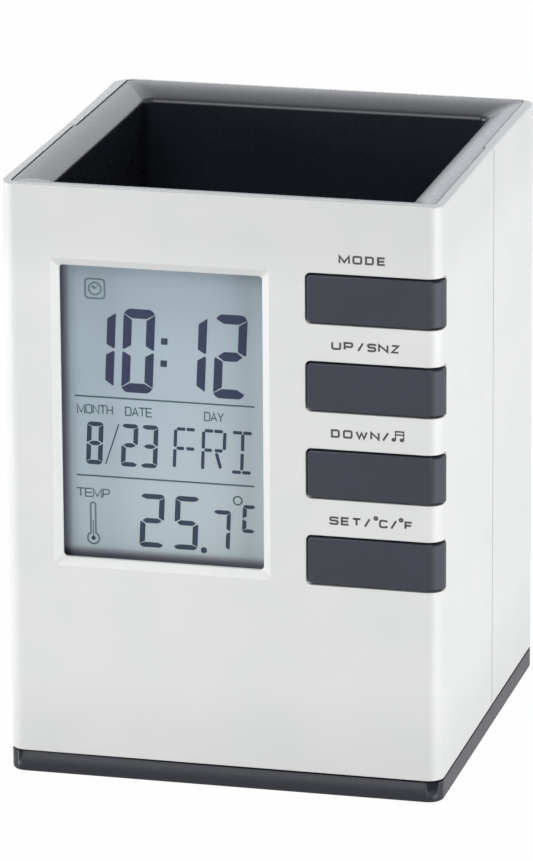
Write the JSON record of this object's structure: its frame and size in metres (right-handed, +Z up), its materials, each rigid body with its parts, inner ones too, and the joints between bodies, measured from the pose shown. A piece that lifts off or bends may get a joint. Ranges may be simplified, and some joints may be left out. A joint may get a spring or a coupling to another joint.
{
  "type": "desk clock",
  "caption": "Square digital desk clock with a pen cup in its top, a window with a bevelled frame, wrap-round keys on the right front corner and a hinged battery door underneath.",
  "frame": {"origin": "middle of the clock's underside, on the plane that its rubber feet stand on", "axes": "+Z up; the display faces -Y; the keys wrap round the +X edge of the front"},
  "size_m": [0.0802, 0.0802, 0.11],
  "materials": {
    "silver_paint": "satin",
    "dark_abs": "satin",
    "cup_abs": "satin",
    "clear_acrylic": "gloss",
    "display_glass": "gloss",
    "reflector_film": "satin",
    "black_rubber": "matte",
    "board_laminate": "satin",
    "black_epoxy": "gloss",
    "bright_steel": "satin",
    "nickel_plate": "gloss",
    "black_plastic": "matte",
    "white_nylon": "satin",
    "grey_nylon": "satin",
    "cell_jacket": "satin",
    "red_wire": "satin",
    "black_wire": "satin"
  },
  "bodies": {
    "case": {"front_shell": "silver_paint", "rear_shell": "silver_paint", "pen_cup": "cup_abs", "base_plate": "dark_abs", "display_lens": "clear_acrylic", "lcd_holder": "black_plastic", "lcd_glass": "display_glass", "lcd_reflector": "reflector_film", "lcd_connector_top": "black_rubber", "lcd_connector_bottom": "black_rubber", "circuit_board": "board_laminate", "clock_chip_cover": "black_epoxy", "timing_crystal": "bright_steel", "alarm_buzzer": "black_plastic", "temperature_sensor": "black_epoxy", "battery_socket": "white_nylon", "mode_switch": "black_plastic", "up_switch": "black_plastic", "down_switch": "black_plastic", "set_switch": "black_plastic", "board_screw_1": "bright_steel", "board_screw_2": "bright_steel", "base_screw_1": "bright_steel", "base_screw_2": "bright_steel", "base_screw_3": "bright_steel", "base_screw_4": "bright_steel", "base_screw_5": "bright_steel", "base_screw_6": "bright_steel", "foot_1": "black_rubber", "foot_2": "black_rubber", "foot_3": "black_rubber", "foot_4": "black_rubber", "battery_1": "cell_jacket", "battery_spring_1": "nickel_plate", "battery_2": "cell_jacket", "battery_spring_2": "nickel_plate", "contact_plate_negative": "nickel_plate", "contact_plate_positive": "nickel_plate", "contact_bridge": "nickel_plate", "battery_lead_black": "black_wire", "battery_lead_red": "red_wire"},
    "mode_key": {"mode_key": "dark_abs", "mode_plunger": "grey_nylon"},
    "up_key": {"up_key": "dark_abs", "up_plunger": "grey_nylon"},
    "down_key": {"down_key": "dark_abs", "down_plunger": "grey_nylon"},
    "set_key": {"set_key": "dark_abs", "set_plunger": "grey_nylon"},
    "battery_door": {"battery_door": "dark_abs"}
  },
  "joints": [
    {"name": "mode_key_press", "type": "slide", "parent": "case", "child": "mode_key", "axis": [0, 1, 0], "range_m": [0, 0.0005], "stiffness_N_per_m": 1200, "springref_m": -0.0005},
    {"name": "up_key_press", "type": "slide", "parent": "case", "child": "up_key", "axis": [0, 1, 0], "range_m": [0, 0.0005], "stiffness_N_per_m": 1200, "springref_m": -0.0005},
    {"name": "down_key_press", "type": "slide", "parent": "case", "child": "down_key", "axis": [0, 1, 0], "range_m": [0, 0.0005], "stiffness_N_per_m": 1200, "springref_m": -0.0005},
    {"name": "set_key_press", "type": "slide", "parent": "case", "child": "set_key", "axis": [0, 1, 0], "range_m": [0, 0.0005], "stiffness_N_per_m": 1200, "springref_m": -0.0005},
    {"name": "battery_door_hinge", "type": "hinge", "parent": "case", "child": "battery_door", "pos_m": [0, 0.01145, 0.0008], "axis": [1, 0, 0], "range_deg": [0, 90]}
  ]
}
